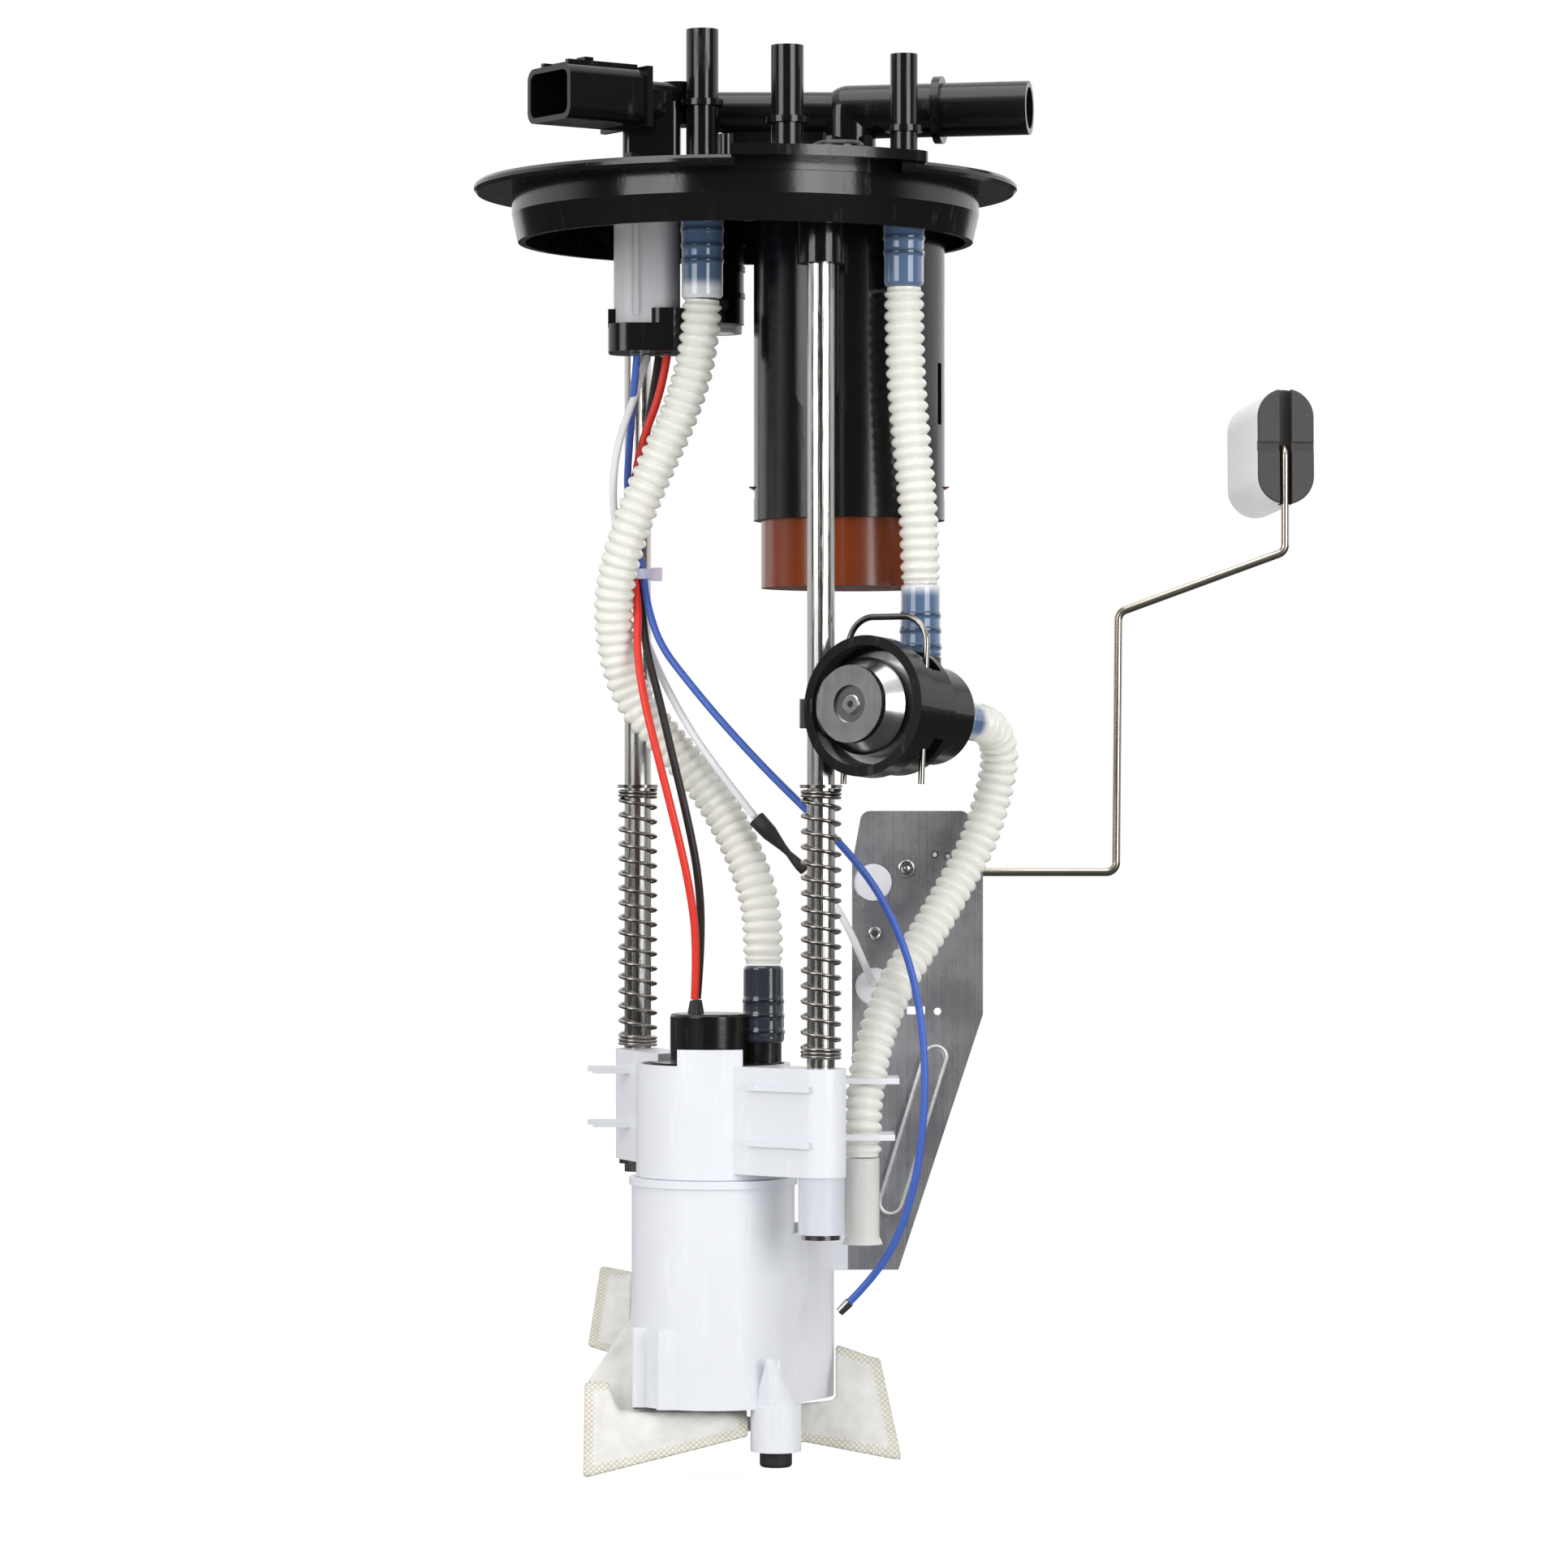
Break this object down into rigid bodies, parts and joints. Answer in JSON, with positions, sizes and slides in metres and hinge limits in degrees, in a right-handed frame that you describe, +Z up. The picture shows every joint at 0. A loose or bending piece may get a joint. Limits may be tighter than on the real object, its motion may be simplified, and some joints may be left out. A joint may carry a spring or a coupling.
{
  "type": "fuel pump module",
  "caption": "In-tank fuel pump module: black flange cap with spigots over sprung guide rods, a reservoir with pump and strainer, and a level sender with a float on a bent arm.",
  "frame": {"origin": "centre of the underside of the flange's disc, where the module seats on the tank", "axes": "+Z up out of the tank, along the guide rods; -Y is the side with the locating notch; +X is towards the float arm"},
  "size_m": [0.2501, 0.16, 0.4224],
  "materials": {
    "black_plastic": "moulded black plastic, lightly polished",
    "grey_plastic": "moulded light grey plastic",
    "brown_plastic": "moulded red brown plastic",
    "white_plastic": "natural white acetal",
    "clear_plastic": "translucent natural plastic",
    "brass": "tinned brass",
    "steel_rod": "ground and polished",
    "spring_steel": "drawn wire",
    "plated_steel": "zinc plated",
    "plate_steel": "pressed and plated",
    "arm_steel": "passivated wire",
    "ferrite": "sintered",
    "carbon": "pressed carbon",
    "copper_winding": "lacquered copper and laminations",
    "ceramic": "fired ceramic card",
    "rubber": "black rubber",
    "felt": "non-woven felt in a fine mesh",
    "float_foam": "closed cell foam",
    "tie_nylon": "natural nylon",
    "hose_nylon": "translucent natural nylon",
    "red_insulation": "insulated wire",
    "black_insulation": "insulated wire",
    "blue_insulation": "insulated wire",
    "white_insulation": "insulated wire"
  },
  "bodies": {
    "flange_unit": {"flange_cap": "black_plastic", "connector_terminals": "brass", "vapour_elbow": "black_plastic", "rod_left": "steel_rod", "rod_right": "steel_rod", "spring_rings": "steel_rod", "rod_clips": "spring_steel", "spring_left": "spring_steel", "spring_right": "spring_steel", "harness_plug": "grey_plastic", "plug_retainer": "black_plastic", "rollover_valve": "black_plastic", "rollover_base": "clear_plastic", "valve_housing": "black_plastic", "valve_cup": "brown_plastic", "regulator_holder": "black_plastic", "pressure_regulator": "plated_steel", "regulator_o_ring": "rubber", "regulator_clip": "spring_steel", "hose_ends": "hose_nylon", "return_hose": "hose_nylon", "wire_tie": "tie_nylon"},
    "vent_float": {"valve_float": "white_plastic"},
    "reservoir": {"pump_hose_end": "hose_nylon", "pump_case": "plated_steel", "pump_top_cap": "black_plastic", "pump_inlet_body": "black_plastic", "pump_magnets": "ferrite", "brush_holder": "black_plastic", "pump_brushes": "carbon", "pump_sleeve": "rubber", "pump_holder": "white_plastic", "lower_guide": "clear_plastic", "reservoir_canister": "white_plastic", "foot_bumper": "rubber", "strainer_neck": "white_plastic", "strainer_bag": "felt", "sender_plate": "plate_steel", "sender_housing": "white_plastic", "resistor_card": "ceramic", "sender_rivets": "steel_rod", "sender_terminal": "brass", "splice_boot": "rubber", "pump_wire_boots": "rubber", "crimp_terminal": "plated_steel", "drain_spout": "hose_nylon", "supply_hose": "hose_nylon", "drain_hose": "hose_nylon", "red_wire": "red_insulation", "black_wire": "black_insulation", "blue_wire": "blue_insulation", "white_wire": "white_insulation", "white_wire_tail": "white_insulation"},
    "pump_rotor": {"pump_armature": "copper_winding", "pump_shaft": "steel_rod", "pump_impeller": "black_plastic"},
    "float_arm": {"arm_hub": "white_plastic", "arm_wiper": "brass", "float_arm": "arm_steel", "level_float": "float_foam"}
  },
  "joints": [
    {"name": "reservoir_slide", "type": "slide", "parent": "flange_unit", "child": "reservoir", "axis": [0, 0, 1], "range_m": [0, 0.04], "stiffness_N_per_m": 350, "springref_m": -0.03, "deforming": ["spring_left", "spring_right", "supply_hose", "drain_hose", "red_wire", "black_wire", "blue_wire", "white_wire", "white_wire_tail", "splice_boot"]},
    {"name": "vent_float_slide", "type": "slide", "parent": "flange_unit", "child": "vent_float", "axis": [0, 0, 1], "range_m": [0, 0.008]},
    {"name": "pump_spin", "type": "hinge", "parent": "reservoir", "child": "pump_rotor", "pos_m": [-0.0085, -0.008, -0.3], "axis": [0, 0, 1], "continuous": true},
    {"name": "float_swing", "type": "hinge", "parent": "reservoir", "child": "float_arm", "pos_m": [0.0435, 0.0262, -0.212], "axis": [0, 1, 0], "range_deg": [0, 90]}
  ]
}
